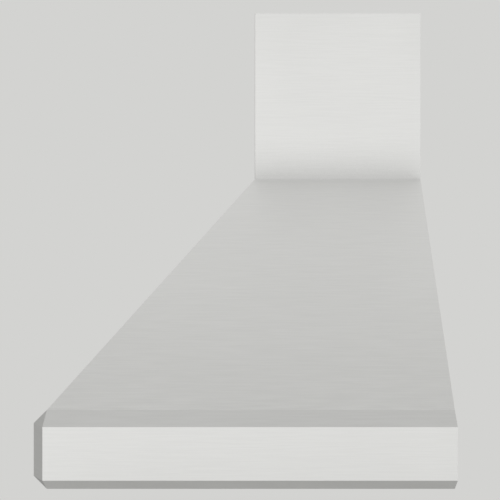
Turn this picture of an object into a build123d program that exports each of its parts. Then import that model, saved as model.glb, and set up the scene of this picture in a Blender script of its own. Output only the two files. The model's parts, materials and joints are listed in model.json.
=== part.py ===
from build123d import *
import os
from math import acos, cos, degrees, hypot, radians, sin, sqrt

os.makedirs("parts", exist_ok=True)

# Wall-mount range hood, in millimetres.
# X runs along the wall, Y = 0 is the wall face with the hood at negative Y, Z = 0 is the bottom rim.

# Outer form
hood_width = 914.4
hood_depth = 609.6
canopy_height = 457.2
band_flat = 76.2
edge_chamfer = 19.05
cover_width = 304.8
cover_depth = 304.8
cover_height = 304.8

# Sheet stock and the gaps it is fitted with
sheet = 1.2
light_sheet = 1.0
filter_sheet = 0.8
bend = 2.0
seat_gap = 0.2

# Screws and rivets
rivet_radius = 1.9
screw_head_radius = 3.5
screw_head_height = 2.0
screw_tip = 3.0
rivet_head_height = 1.4
rivet_tail_radius = 3.0
rivet_tail_height = 1.2

# Inward rim round the underside
rim_width = 22.0
rim_lip = 12.0

# Holes toward the wall
stud_spacing = 406.4
stud_rows = (92.0, 312.0)
stud_hole_radius = 4.0
keyhole_spacing = 228.6
keyhole_height = 280.0
keyhole_radius = 7.0
keyhole_slot_radius = 3.2
keyhole_rise = 14.0
knockout_radius = 11.1

# Duct cover and the strip that holds it
cover_bend = 1.2
cover_return = 16.0
cover_foot = 14.0
strip_height = 30.0
strip_drop = 15.0
strip_hole_spacing = 160.0
strip_hole_radius = 3.0
cover_screw_rows = (60.0, 245.0)

# Duct collar with its damper
collar_radius = 101.0
collar_wall = 0.9
collar_height = 62.0
collar_flange = 15.0
collar_from_wall = 152.4
rivet_count = 6
damper_height = 38.0
stop_depth = 1.5
stop_width = 8.0
rod_radius = 2.0
rod_clearance = 0.08
knuckle_count = 6
knuckle_pitch = 30.0
knuckle_length = 24.0
knuckle_wall = 1.2
flap_sheet = 0.8
flap_gap = 2.0

# Blower
wheel_radius = 85.0
wheel_inner_radius = 71.0
wheel_half_width = 62.0
blade_count = 30
blade_sheet = 0.9
blade_curl = 5.5
ring_sheet = 1.5
hub_radius = 12.0
hub_length = 24.0
blower_from_wall = 210.0
blower_height = 250.0
scroll_half_width = 70.0
scroll_start_radius = 95.0
scroll_step = 13.0
scroll_rise = 115.0
tongue_angle = 60.0
inlet_radius = 66.0
inlet_bell = 6.0
side_crimp = 4.0
shaft_radius = 4.0
shaft_end = 16.0
shaft_hold = 32.0
shaft_clearance = 0.05
motor_radius = 48.0
motor_back = -122.0
motor_front = -30.0
motor_hub = 14.0
motor_step = 5.0
motor_shoulder = 7.0
motor_rounding = 6.0
motor_slot_length = 16.0
motor_slot_width = 5.0
motor_slot_depth = 12.0
motor_slot_count = 8
arm_sheet = 3.0
arm_width = 12.0
band_width = 15.0
adapter_corner = 6.0
adapter_gap = 1.0

# Bracket and capacitor on the back panel
bracket_half = 50.0
bracket_foot = 22.0
bracket_rise = 35.0
bracket_height = 60.0
bracket_screw_spacing = 60.0
bracket_screw_rows = (50.0, 80.0)
capacitor_radius = 17.0
capacitor_height = 62.0
capacitor_beside = 100.0
capacitor_drop = 70.0
capacitor_edge = 2.0
terminal_spacing = 14.0
terminal_width = 6.0
terminal_sheet = 0.8
terminal_height = 9.0
clip_rise = 24.0
clip_height = 14.0
clip_width = 60.0

# Rail with knobs and lamps
rail_height = 34.0
rail_depth = 93.0
rail_foot = 2.0
knob_radius = 19.0
knob_height = 22.0
knob_spacing = 120.0
knob_gap = 0.4
knob_skirt = 3.0
knob_waist = 3.5
knob_taper = 1.0
knob_rounding = 1.5
flute_count = 12
flute_radius = 2.0
pointer_width = 1.6
pointer_depth = 1.0
stem_radius = 3.0
stem_clearance = 0.06
stem_length = 16.0
bushing_wall = 1.8
bushing_gap = 0.2
switch_width = 34.0
switch_height = 18.0
switch_corner = 4.0
switch_pin_pitch = 10.0
lamp_from_side = 207.2
lamp_radius = 36.0
lamp_depth = 42.0
bezel_reach = 6.0
bezel_ledge = 5.0
bezel_height = 2.2
bezel_edge = 0.8
spigot_gap = 0.4
spigot_wall = 1.2
spigot_height = 10.0
lens_gap = 0.2
lens_rim = 2.2
lens_crown = 4.0
can_gap = 1.0
can_flange = 6.0
can_shoulder = 6.0
board_radius = 26.0
board_sheet = 1.6
chip_size = 3.5
chip_height = 0.8
chip_circle = 15.0
chip_count = 6

# Baffle filters, tilted down toward the wall
filter_count = 3
filter_tilt = 4.0
filter_reach = 396.0
filter_tail = 22.0
filter_thick = 22.0
filter_leg = 12.0
filter_side_gap = 2.0
vane_width = 21.0
vane_pitch = 27.0
vane_lip = 11.5
vane_gap = 0.1
drain_hole_radius = 2.5
drain_hole_pitch = 40.0
drain_hole_count = 5
handle_width = 90.0
handle_drop = 20.0
handle_bend = 9.0
handle_wire = 2.5
leaf_sheet = 0.6
leaf_reach = 6.3
leaf_width = 18.0
leaf_spacing = 160.0
leaf_foot = 20.0
leaf_start = 6.0
leaf_crest = 5.0
leaf_tip = 16.0
leaf_tip_reach = 2.0

# Grease trough and cup
pivot_from_wall = 72.0
pivot_height = 62.0
rest_gap = 0.1
trough_lip = 8.0
trough_floor = 44.0
trough_back = 78.0
cup_length = 110.0
cup_width = 44.0
cup_depth = 27.0
cup_flange = 5.0
cup_gap = 0.3
cup_corner = 7.0
cup_edge = 4.0
cup_runner_margin = 5.0
drain_radius = 6.0
trough_end_height = 12.0

# Inner side walls
liner_foot = 1.0
liner_top = 117.0
liner_flange = 14.0

# Junction box
box_from_side = 177.2
box_height = 155.0
box_width = 100.0
box_tall = 60.0
box_depth = 48.0
box_tab_width = 14.0
box_tab_height = 12.4
box_screw_inset = 7.0
box_cover_lap = 10.0

# Sizes worked out from the ones above
band_height = band_flat + 2 * edge_chamfer
total_height = canopy_height + cover_height
foot_half = hood_width / 2 - edge_chamfer
foot_front = edge_chamfer - hood_depth
opening_half = foot_half - rim_width
opening_front = foot_front + rim_width
liner_half = opening_half - seat_gap - sheet
span_half = liner_half - seat_gap
slope_rise = canopy_height - band_height
slope_run = foot_half - cover_width / 2
collar_centre = (0, -collar_from_wall)
plate_underside = canopy_height - sheet
panel_face = -(sheet + seat_gap)
box_centre = box_from_side - hood_width / 2


def save(piece, name):
    """Labels a finished piece and writes its file."""
    piece.label = name
    export_step(piece, "parts/" + name + ".step")


def folded_section(corners, thickness, radius=bend):
    """Section of a sheet bent along the corners, with its thickness on the left of their line."""
    with BuildSketch() as section:
        with BuildLine():
            FilletPolyline(*corners, radius=radius)
            offset(amount=thickness, side=Side.LEFT)
        make_face()
    return section.sketch


# Canopy: band with chamfered edges and front corners, under slopes that stay upright at the wall
def canopy_form(wall):
    """Outer form of the canopy, or with a wall given the hollow inside that wall, open to the back."""
    width = hood_width - 2 * wall
    depth = hood_depth - wall
    cut = edge_chamfer - wall * (2 - sqrt(2))
    top_inset = wall * (hypot(slope_run, slope_rise) - slope_run) / slope_rise
    with BuildPart() as form:
        with BuildSketch(Plane.XY.offset(wall)):
            with Locations((0, -depth / 2)):
                Rectangle(width, depth)
        extrude(amount=band_height - 2 * wall)
        chamfer(form.edges().filter_by_position(Axis.Y, -hood_depth - 1, -1), length=cut)
        with BuildSketch(Plane.XY.offset(band_height - wall)):
            with Locations((0, -(depth - cut) / 2)):
                Rectangle(width - 2 * cut, depth - cut)
        with BuildSketch(Plane.XY.offset(canopy_height - wall)):
            with Locations((0, -(cover_depth - top_inset) / 2)):
                Rectangle(cover_width - 2 * top_inset, cover_depth - top_inset)
        loft()
    return form.part


cover_screw_places = [
    (side * (cover_width / 2 - light_sheet - cover_foot / 2), -row)
    for side in (-1, 1)
    for row in cover_screw_rows
]
opening_depth = -opening_front - rim_width
opening_centre = (0, (opening_front - rim_width) / 2)

with BuildPart() as canopy:
    add(canopy_form(0))
    add(canopy_form(sheet), mode=Mode.SUBTRACT)
    # Lip turned up round the underside opening
    with BuildSketch(Plane.XY):
        with Locations(opening_centre):
            Rectangle(2 * (opening_half + sheet), opening_depth + 2 * sheet)
    extrude(amount=rim_lip)
    with BuildSketch(Plane.XY):
        with Locations(opening_centre):
            Rectangle(2 * opening_half, opening_depth)
    extrude(amount=rim_lip, mode=Mode.SUBTRACT)
    # Holes in the top plate for the duct and the fasteners
    with BuildSketch(Plane.XY.offset(canopy_height)):
        with Locations(collar_centre):
            Circle(collar_radius - collar_wall)
            with PolarLocations(collar_radius + collar_flange / 2, rivet_count):
                Circle(rivet_radius)
        with Locations(cover_screw_places):
            Circle(rivet_radius)
    extrude(amount=-sheet, mode=Mode.SUBTRACT)

# The canopy is welded from a band with its rim, three slopes that meet at the hips, and a top plate
hip_meeting = (0, foot_front - foot_half * (cover_depth + foot_front) / slope_run)
whole_plan = [
    (-hood_width / 2, -hood_depth),
    (hood_width / 2, -hood_depth),
    (hood_width / 2, 0),
    (-hood_width / 2, 0),
]
front_plan = [(-foot_half, foot_front), (foot_half, foot_front), hip_meeting]
right_plan = [(0, 0), hip_meeting, (foot_half, foot_front), (foot_half, 0)]
left_plan = [(-x, y) for x, y in reversed(right_plan)]
for name, floor, ceiling, plan in (
    ("canopy_band", 0, band_height, whole_plan),
    ("canopy_front_slope", band_height, plate_underside, front_plan),
    ("canopy_left_slope", band_height, plate_underside, left_plan),
    ("canopy_right_slope", band_height, plate_underside, right_plan),
    ("canopy_top_plate", plate_underside, canopy_height, whole_plan),
):
    with BuildPart() as canopy_piece:
        with BuildSketch(Plane.XY.offset(floor)):
            Polygon(*plan, align=None)
        extrude(amount=ceiling - floor)
        add(canopy.part, mode=Mode.INTERSECT)
    save(canopy_piece.part, name)

with BuildPart() as back_panel:
    with BuildSketch(Plane.XZ):
        with BuildLine():
            Polyline(
                (0, 0),
                (foot_half, 0),
                (hood_width / 2, edge_chamfer),
                (hood_width / 2, band_height - edge_chamfer),
                (foot_half, band_height),
                (cover_width / 2, canopy_height),
                (0, canopy_height),
            )
            mirror(about=Plane.YZ)
        make_face()
        offset(amount=-(sheet + seat_gap), kind=Kind.INTERSECTION)
        for side in (-1, 1):
            with Locations([(side * stud_spacing / 2, row) for row in stud_rows]):
                Circle(stud_hole_radius, mode=Mode.SUBTRACT)
            with Locations((side * keyhole_spacing / 2, keyhole_height)):
                Circle(keyhole_radius, mode=Mode.SUBTRACT)
                with Locations((0, keyhole_rise / 2)):
                    Rectangle(2 * keyhole_slot_radius, keyhole_rise, mode=Mode.SUBTRACT)
                with Locations((0, keyhole_rise)):
                    Circle(keyhole_slot_radius, mode=Mode.SUBTRACT)
        with Locations((box_centre, box_height)):
            Circle(knockout_radius, mode=Mode.SUBTRACT)
    extrude(amount=sheet)
save(back_panel.part, "back_panel")

# Duct cover: one sheet bent round the front and sides, with returns at the wall and a foot on the canopy
with BuildPart() as duct_cover:
    with BuildSketch(Plane.XY.offset(canopy_height)):
        with Locations((0, -cover_depth / 2)):
            Rectangle(cover_width, cover_depth)
    extrude(amount=cover_height)
    front_corners = duct_cover.edges().filter_by(Axis.Z).group_by(Axis.Y)[0]
    fillet(front_corners, radius=cover_bend)
    offset(amount=-light_sheet, openings=duct_cover.faces().filter_by(Axis.Z))
    with BuildSketch(Plane.XY.offset(canopy_height)):
        with Locations((0, -cover_return / 2)):
            Rectangle(cover_width - 2 * cover_return, cover_return)
    extrude(amount=cover_height, mode=Mode.SUBTRACT)
    with BuildSketch(Plane.XY.offset(canopy_height)):
        with Locations((0, -cover_depth / 2)):
            Rectangle(cover_width - 2 * light_sheet, cover_depth - 2 * light_sheet)
        with Locations((0, (cover_foot - cover_depth) / 2)):
            Rectangle(cover_width - 2 * cover_foot, cover_depth - cover_foot, mode=Mode.SUBTRACT)
        with Locations(cover_screw_places):
            Circle(rivet_radius, mode=Mode.SUBTRACT)
    extrude(amount=light_sheet)
save(duct_cover.part, "duct_cover")

# Strip on the wall whose joggled ends lie in front of the returns of the duct cover
ear_face = light_sheet + seat_gap
ear_start = cover_width / 2 - cover_return - seat_gap - sheet
ear_end = cover_width / 2 - light_sheet - cover_bend
with BuildPart() as cover_wall_bracket:
    with BuildSketch(Plane.XY.offset(total_height - strip_drop - strip_height)):
        with BuildLine():
            Polyline(
                (0, 0),
                (ear_start, 0),
                (ear_start + sheet / 2, -ear_face),
                (ear_end, -ear_face),
                (ear_end, -ear_face - sheet),
                (ear_start - sheet / 2, -ear_face - sheet),
                (ear_start - sheet, -sheet),
                (0, -sheet),
            )
            mirror(about=Plane.YZ)
        make_face()
    extrude(amount=strip_height)
    with BuildSketch(Plane.XZ):
        with Locations((0, total_height - strip_drop - strip_height / 2)):
            with GridLocations(strip_hole_spacing, 0, 2, 1):
                Circle(strip_hole_radius)
    extrude(amount=sheet, mode=Mode.SUBTRACT)
save(cover_wall_bracket.part, "cover_wall_bracket")


def fastener(reach, head_height=screw_head_height):
    """Round-headed fastener with its head below the origin and its shank rising from it."""
    crown = 0.7 * screw_head_radius
    with BuildPart() as shape:
        with BuildSketch(Plane.XZ):
            with BuildLine():
                Polyline(
                    (0, reach),
                    (rivet_radius, reach),
                    (rivet_radius, 0),
                    (screw_head_radius, 0),
                    (crown, -head_height),
                    (0, -head_height),
                    close=True,
                )
            make_face()
        revolve(axis=Axis.Z)
    return shape.part


cover_screw = fastener(reach=sheet + light_sheet + screw_tip)
with BuildPart() as cover_screws:
    with Locations([(x, y, plate_underside) for x, y in cover_screw_places]):
        add(cover_screw)
save(cover_screws.part, "cover_screws")

# Duct collar: flanged spigot on the top plate, with stops under the damper
collar_inside = collar_radius - collar_wall
damper_level = canopy_height + damper_height
with BuildPart() as duct_collar:
    with BuildSketch(Plane.XY.offset(canopy_height)):
        with Locations(collar_centre):
            Circle(collar_radius + collar_flange)
            Circle(collar_inside, mode=Mode.SUBTRACT)
            with PolarLocations(collar_radius + collar_flange / 2, rivet_count):
                Circle(rivet_radius, mode=Mode.SUBTRACT)
    extrude(amount=collar_wall)
    with BuildSketch(Plane.XY.offset(canopy_height)):
        with Locations(collar_centre):
            Circle(collar_radius)
            Circle(collar_inside, mode=Mode.SUBTRACT)
    extrude(amount=collar_height)
    with BuildSketch(Plane.XY.offset(damper_level - flap_sheet / 2 - 2 * seat_gap)):
        with Locations(collar_centre):
            with PolarLocations(collar_inside - stop_depth / 2, 4, start_angle=45):
                Rectangle(stop_depth + collar_wall, stop_width)
    extrude(amount=-stop_depth)
    with BuildSketch(Plane.YZ.offset(-collar_radius)):
        with Locations((-collar_from_wall, damper_level)):
            Circle(rod_radius)
    extrude(amount=2 * collar_radius, mode=Mode.SUBTRACT)
save(duct_collar.part, "duct_collar")

flange_stack = 2 * collar_wall + sheet
with BuildPart() as rivet:
    add(fastener(reach=flange_stack, head_height=rivet_head_height))
    with BuildSketch(Plane.XY.offset(flange_stack)):
        Circle(rivet_tail_radius)
    extrude(amount=rivet_tail_height)
with BuildPart() as collar_rivets:
    with Locations((*collar_centre, plate_underside - collar_wall)):
        with PolarLocations(collar_radius + collar_flange / 2, rivet_count):
            add(rivet.part)
save(collar_rivets.part, "collar_rivets")

with BuildPart() as damper_rod:
    with BuildSketch(Plane.YZ.offset(-collar_radius)):
        with Locations((-collar_from_wall, damper_level)):
            Circle(rod_radius)
    extrude(amount=2 * collar_radius)
save(damper_rod.part, "damper_rod")

# Damper flaps: half discs whose knuckles take turns along one rod
knuckle_bore = rod_radius + rod_clearance
knuckle_radius = knuckle_bore + knuckle_wall
flap_edge = knuckle_radius + 2 * seat_gap
knuckle_places = [
    (number - (knuckle_count - 1) / 2) * knuckle_pitch - knuckle_length / 2 for number in range(knuckle_count)
]


def damper_flap(side, places):
    """Half disc on one side of the rod, with a knuckle starting at each place along it."""
    hinge_plane = Plane((0, -collar_from_wall, damper_level), x_dir=(1, 0, 0), z_dir=(0, 0, 1))
    with BuildPart() as flap:
        with BuildSketch(hinge_plane.offset(-flap_sheet / 2)):
            Circle(collar_inside - flap_gap)
            with Locations((0, -side * collar_inside)):
                Rectangle(2 * collar_inside, 2 * (collar_inside + flap_edge), mode=Mode.SUBTRACT)
            for place in places:
                with Locations((place + knuckle_length / 2, side * flap_edge / 2)):
                    Rectangle(knuckle_length, flap_edge + 1)
        extrude(amount=flap_sheet)
        for place in places:
            with BuildSketch(Plane.YZ.offset(place)):
                with Locations((-collar_from_wall, damper_level)):
                    Circle(knuckle_radius)
            extrude(amount=knuckle_length)
        with BuildSketch(Plane.YZ.offset(-collar_radius)):
            with Locations((-collar_from_wall, damper_level)):
                Circle(knuckle_bore)
        extrude(amount=2 * collar_radius, mode=Mode.SUBTRACT)
    return flap.part


save(damper_flap(-1, knuckle_places[0::2]), "damper_flap_front")
save(damper_flap(1, knuckle_places[1::2]), "damper_flap_rear")

# Blower housing: a scroll of four arcs struck from the corners of a small square
wheel_centre = (0, -blower_from_wall, blower_height)
wheel_axis = Axis(wheel_centre, (1, 0, 0))
turning_plane = Plane(origin=wheel_centre)
half_step = scroll_step / 2
scroll_radii = [scroll_start_radius + turn * scroll_step for turn in range(4)]
tongue_along = -half_step + scroll_radii[0] * cos(radians(tongue_angle))
outlet_outer = half_step + scroll_radii[3]
outlet_middle = (tongue_along + outlet_outer) / 2
outlet_width = outlet_outer - tongue_along
motor_screw_circle = inlet_radius + band_width


def wheel_side(along):
    """Plane square to the wheel's axis, with Y to its right and Z up, measured from the wheel centre."""
    return Plane(origin=(along, -blower_from_wall, blower_height), x_dir=(0, 1, 0), z_dir=(1, 0, 0))


def scroll_outline(inset=0.0):
    """Face bounded by the scroll, or drawn in by an inset, with the wheel centre at its origin."""
    radii = [radius - inset for radius in scroll_radii]
    outer = outlet_outer - inset
    inner = tongue_along + inset
    start = degrees(acos((inner + half_step) / radii[0]))
    with BuildSketch() as outline:
        with BuildLine():
            first_arc = CenterArc((-half_step, half_step), radii[0], start, 90 - start)
            CenterArc((-half_step, -half_step), radii[1], 90, 90)
            CenterArc((half_step, -half_step), radii[2], 180, 90)
            CenterArc((half_step, half_step), radii[3], 270, 90)
            Polyline((outer, half_step), (outer, scroll_rise), (inner, scroll_rise), first_arc @ 0)
        make_face()
    return outline.sketch


blower_screw_places = [
    (side * bracket_screw_spacing / 2, blower_height + row)
    for side in (-1, 1)
    for row in bracket_screw_rows
]
with BuildPart() as scroll_wrapper:
    with BuildSketch(wheel_side(-scroll_half_width)):
        add(scroll_outline())
        add(scroll_outline(light_sheet), mode=Mode.SUBTRACT)
    extrude(amount=2 * scroll_half_width)
    with BuildSketch(Plane.XZ.offset(blower_from_wall - outlet_outer)):
        with Locations(blower_screw_places):
            Circle(rivet_radius)
    extrude(amount=light_sheet, mode=Mode.SUBTRACT)
save(scroll_wrapper.part, "scroll_wrapper")

# Side plates: crimped edge round the scroll, and an inlet rounded toward the wheel
with BuildPart() as scroll_side_right:
    with BuildSketch(wheel_side(scroll_half_width)):
        add(scroll_outline(-side_crimp))
        Circle(inlet_radius + inlet_bell, mode=Mode.SUBTRACT)
        with PolarLocations(motor_screw_circle, 3, start_angle=90):
            Circle(rivet_radius, mode=Mode.SUBTRACT)
    extrude(amount=light_sheet)
    with BuildSketch(turning_plane):
        with BuildLine():
            bell_centre = (scroll_half_width + light_sheet - inlet_bell, inlet_radius + inlet_bell)
            outer_arc = CenterArc(bell_centre, inlet_bell, 270, 90)
            inner_arc = CenterArc(bell_centre, inlet_bell - light_sheet, 270, 90)
            Line(outer_arc @ 0, inner_arc @ 0)
            Line(outer_arc @ 1, inner_arc @ 1)
        make_face()
    revolve(axis=wheel_axis)
save(scroll_side_right.part, "scroll_side_right")

with BuildPart() as scroll_side_left:
    add(scroll_side_right.part.mirror(Plane.YZ))
save(scroll_side_left.part, "scroll_side_left")

# Square-to-round adapter from the scroll's outlet to the collar, with a flange under the top plate
adapter_base = blower_height + scroll_rise
adapter_top = plate_underside - collar_wall
with BuildPart() as outlet_adapter:
    for inset, mode in ((0, Mode.ADD), (light_sheet, Mode.SUBTRACT)):
        with BuildSketch(Plane.XY.offset(adapter_base)):
            with Locations((0, outlet_middle - blower_from_wall)):
                RectangleRounded(
                    2 * (scroll_half_width - inset), outlet_width - 2 * inset, adapter_corner - inset
                )
        with BuildSketch(Plane.XY.offset(adapter_top)):
            with Locations(collar_centre):
                Circle(collar_inside - adapter_gap - inset)
        loft(mode=mode)
    with BuildSketch(Plane.XY.offset(adapter_top)):
        with Locations(collar_centre):
            Circle(collar_radius + collar_flange)
            Circle(collar_inside - adapter_gap - light_sheet, mode=Mode.SUBTRACT)
            with PolarLocations(collar_radius + collar_flange / 2, rivet_count):
                Circle(rivet_radius, mode=Mode.SUBTRACT)
    extrude(amount=collar_wall)
save(outlet_adapter.part, "outlet_adapter")

# Impeller: disc with hub, two rows of forward-curved blades, and a ring that ends each row
blade_reach = wheel_radius - wheel_inner_radius
blade_length = wheel_half_width - ring_sheet - ring_sheet / 2
with BuildSketch() as blade:
    with BuildLine():
        ThreePointArc((0.4, 0), (0.6 * blade_reach, 0.2 * blade_curl), (blade_reach - 0.6, blade_curl))
        offset(amount=blade_sheet, side=Side.LEFT)
    make_face()
with BuildPart() as impeller_disc:
    with BuildSketch(wheel_side(-ring_sheet / 2)):
        Circle(wheel_radius)
    extrude(amount=ring_sheet)
    with BuildSketch(wheel_side(-hub_length / 2)):
        Circle(hub_radius)
    extrude(amount=hub_length)
    with BuildSketch(wheel_side(-hub_length / 2)):
        Circle(shaft_radius)
    extrude(amount=hub_length, mode=Mode.SUBTRACT)
save(impeller_disc.part, "impeller_disc")
with BuildPart() as impeller_blades:
    for start in (ring_sheet - wheel_half_width, ring_sheet / 2):
        with BuildSketch(wheel_side(start)):
            with PolarLocations(wheel_inner_radius, blade_count):
                add(blade.sketch)
        extrude(amount=blade_length)
save(impeller_blades.part, "impeller_blades")
with BuildPart() as impeller_rings:
    for start in (-wheel_half_width, wheel_half_width - ring_sheet):
        with BuildSketch(wheel_side(start)):
            Circle(wheel_radius)
            Circle(wheel_inner_radius, mode=Mode.SUBTRACT)
        extrude(amount=ring_sheet)
save(impeller_rings.part, "impeller_rings")

shaft_back = motor_front - shaft_hold
with BuildPart() as motor_shaft:
    with BuildSketch(wheel_side(shaft_back)):
        Circle(shaft_radius)
    extrude(amount=shaft_end - shaft_back)
save(motor_shaft.part, "motor_shaft")

with BuildPart() as motor_body:
    with BuildSketch(turning_plane):
        with BuildLine():
            Polyline(
                (motor_back, 0),
                (motor_back, motor_hub),
                (motor_back + motor_step, motor_hub),
                (motor_back + motor_shoulder, motor_radius - motor_rounding),
                (motor_back + 2 * motor_shoulder, motor_radius),
                (motor_front - 2 * motor_shoulder, motor_radius),
                (motor_front - motor_shoulder, motor_radius - motor_rounding),
                (motor_front - motor_step, motor_hub),
                (motor_front, motor_hub),
                (motor_front, 0),
                close=True,
            )
        make_face()
    revolve(axis=wheel_axis)
    # Cooling slots in both end bells
    slot_circle = (motor_hub + motor_radius) / 2
    for start, depth in ((motor_back, motor_slot_depth), (motor_front, -motor_slot_depth)):
        with BuildSketch(wheel_side(start)):
            with PolarLocations(slot_circle, motor_slot_count):
                SlotOverall(motor_slot_length, motor_slot_width)
        extrude(amount=depth, mode=Mode.SUBTRACT)
    with BuildSketch(wheel_side(motor_front)):
        Circle(shaft_radius + shaft_clearance)
    extrude(amount=-(shaft_hold + seat_gap), mode=Mode.SUBTRACT)
save(motor_body.part, "motor_body")

# Band round the motor with three arms to the inlet plate
arm_face = -(scroll_half_width + light_sheet)
with BuildPart() as motor_bracket:
    with BuildSketch(wheel_side(arm_face)):
        Circle(motor_radius + seat_gap + arm_sheet)
    extrude(amount=-band_width)
    with BuildSketch(wheel_side(arm_face)):
        with PolarLocations((motor_screw_circle + arm_width) / 2, 3, start_angle=90):
            Rectangle(motor_screw_circle, arm_width)
    extrude(amount=-arm_sheet)
    with BuildSketch(wheel_side(arm_face)):
        Circle(motor_radius + seat_gap)
        with PolarLocations(motor_screw_circle, 3, start_angle=90):
            Circle(rivet_radius)
    extrude(amount=-band_width, mode=Mode.SUBTRACT)
save(motor_bracket.part, "motor_bracket")

# Hat-shaped bracket from the back panel to the outlet wall of the housing
outlet_face = outlet_outer - blower_from_wall + seat_gap
with BuildPart() as blower_bracket:
    with BuildSketch(Plane.XY.offset(blower_height + bracket_rise)):
        add(
            folded_section(
                [
                    (bracket_half + bracket_foot, panel_face),
                    (bracket_half, panel_face),
                    (bracket_half, outlet_face + sheet),
                    (-bracket_half, outlet_face + sheet),
                    (-bracket_half, panel_face),
                    (-bracket_half - bracket_foot, panel_face),
                ],
                sheet,
            )
        )
    extrude(amount=bracket_height)
    with BuildSketch(Plane.XZ.offset(-outlet_face - sheet)):
        with Locations(blower_screw_places):
            Circle(rivet_radius)
    extrude(amount=sheet, mode=Mode.SUBTRACT)
save(blower_bracket.part, "blower_bracket")

housing_screw = fastener(reach=sheet + seat_gap + light_sheet + screw_tip)
motor_screw = fastener(reach=arm_sheet + light_sheet + screw_tip)
with BuildPart() as blower_screws:
    for x, z in blower_screw_places:
        with Locations(Plane(origin=(x, outlet_face + sheet, z), z_dir=(0, -1, 0))):
            add(housing_screw)
    with Locations(wheel_side(arm_face - arm_sheet)):
        with PolarLocations(motor_screw_circle, 3, start_angle=90):
            add(motor_screw)
save(blower_screws.part, "blower_screws")

# Run capacitor in a strap on the back panel
capacitor_place = (scroll_half_width + capacitor_beside, panel_face - capacitor_radius - sheet)
capacitor_base = blower_height - capacitor_drop
with BuildPart() as capacitor:
    with BuildSketch(Plane.XY.offset(capacitor_base)):
        with Locations(capacitor_place):
            Circle(capacitor_radius - seat_gap)
    extrude(amount=capacitor_height)
    fillet(capacitor.edges().filter_by(GeomType.CIRCLE), radius=capacitor_edge)
    with BuildSketch(Plane.XY.offset(capacitor_base + capacitor_height)):
        with Locations(capacitor_place):
            with GridLocations(terminal_spacing, 0, 2, 1):
                Rectangle(terminal_width, terminal_sheet)
    extrude(amount=terminal_height)
save(capacitor.part, "capacitor")

with BuildPart() as capacitor_clip:
    with BuildSketch(Plane.XY.offset(capacitor_base + clip_rise)):
        with Locations(capacitor_place):
            Circle(capacitor_radius + sheet)
            with Locations((0, capacitor_radius + sheet / 2)):
                Rectangle(clip_width, sheet)
            Circle(capacitor_radius, mode=Mode.SUBTRACT)
    extrude(amount=clip_height)
save(capacitor_clip.part, "capacitor_clip")

# Control and lamp rail: a sheet folded down against the front rim and up in front of the filters
rail_front = opening_front + seat_gap + sheet
rail_back = rail_front + rail_depth
rail_middle = (rail_front + rail_back) / 2
tilt = radians(filter_tilt)
filter_front_rise = pivot_height + filter_reach * sin(tilt)
lamp_places = [(side * (hood_width / 2 - lamp_from_side), rail_middle) for side in (-1, 1)]
knob_places = [(side * knob_spacing / 2, rail_middle) for side in (-1, 1)]
with BuildPart() as control_rail:
    with BuildSketch(Plane.YZ.offset(-span_half)):
        add(
            folded_section(
                [
                    (rail_front, rail_foot),
                    (rail_front, rail_height),
                    (rail_back, rail_height),
                    (rail_back, filter_front_rise + filter_thick),
                ],
                sheet,
            )
        )
    extrude(amount=2 * span_half)
    with BuildSketch(Plane.XY.offset(rail_height)):
        with Locations(lamp_places):
            Circle(lamp_radius)
        with Locations(knob_places):
            Circle(stem_radius + bushing_wall + bushing_gap)
    extrude(amount=sheet, mode=Mode.SUBTRACT)
save(control_rail.part, "control_rail")


def rail_section(place):
    """Upright plane through a place on the rail's face, with its origin on the face."""
    return Plane(origin=(*place, rail_height), x_dir=(1, 0, 0), z_dir=(0, -1, 0))


def rotary_knob(place):
    """Fluted knob with a skirt, a pointer groove and a stem that goes up into its switch."""
    axis = Axis((*place, 0), (0, 0, 1))
    face = knob_gap + knob_height
    grip_radius = knob_radius - knob_waist
    grip_start = knob_gap + knob_skirt + flute_radius
    with BuildPart() as knob:
        with BuildSketch(rail_section(place)):
            with BuildLine():
                Polyline(
                    (0, stem_length),
                    (stem_radius, stem_length),
                    (stem_radius, -knob_gap),
                    (knob_radius, -knob_gap),
                    (knob_radius, -knob_gap - knob_skirt),
                    (grip_radius, -grip_start),
                    (grip_radius - knob_taper, -face + knob_rounding),
                    (grip_radius - knob_taper - knob_rounding, -face),
                    (0, -face),
                    close=True,
                )
            make_face()
        revolve(axis=axis)
        with BuildSketch(Plane.XY.offset(rail_height - face)):
            with Locations(place):
                with Locations((0, -knob_radius / 2)):
                    Rectangle(pointer_width, 0.6 * knob_radius)
        extrude(amount=pointer_depth, mode=Mode.SUBTRACT)
        with BuildSketch(Plane.XY.offset(rail_height - face)):
            with Locations(place):
                with PolarLocations(grip_radius + knob_taper / 2, flute_count, start_angle=180 / flute_count):
                    Circle(flute_radius)
        extrude(amount=face - grip_start, mode=Mode.SUBTRACT)
    return knob.part


def rotary_switch(place):
    """Switch body on top of the rail, with a bushing in the rail's hole and three blade terminals."""
    with BuildPart() as switch:
        with BuildSketch(Plane.XY.offset(rail_height)):
            with Locations(place):
                Circle(stem_radius + bushing_wall)
        extrude(amount=sheet)
        with BuildSketch(Plane.XY.offset(rail_height + sheet)):
            with Locations(place):
                RectangleRounded(switch_width, switch_width, switch_corner)
        extrude(amount=switch_height)
        with BuildSketch(Plane.XY.offset(rail_height + sheet + switch_height)):
            with Locations(place):
                with GridLocations(switch_pin_pitch, 0, 3, 1):
                    Rectangle(terminal_sheet, terminal_width)
        extrude(amount=terminal_height)
        with BuildSketch(Plane.XY.offset(rail_height)):
            with Locations(place):
                Circle(stem_radius + stem_clearance)
        extrude(amount=stem_length + seat_gap, mode=Mode.SUBTRACT)
    return switch.part


save(rotary_knob(knob_places[0]), "light_knob")
save(rotary_knob(knob_places[1]), "speed_knob")
save(rotary_switch(knob_places[0]), "light_switch")
save(rotary_switch(knob_places[1]), "speed_switch")

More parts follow.
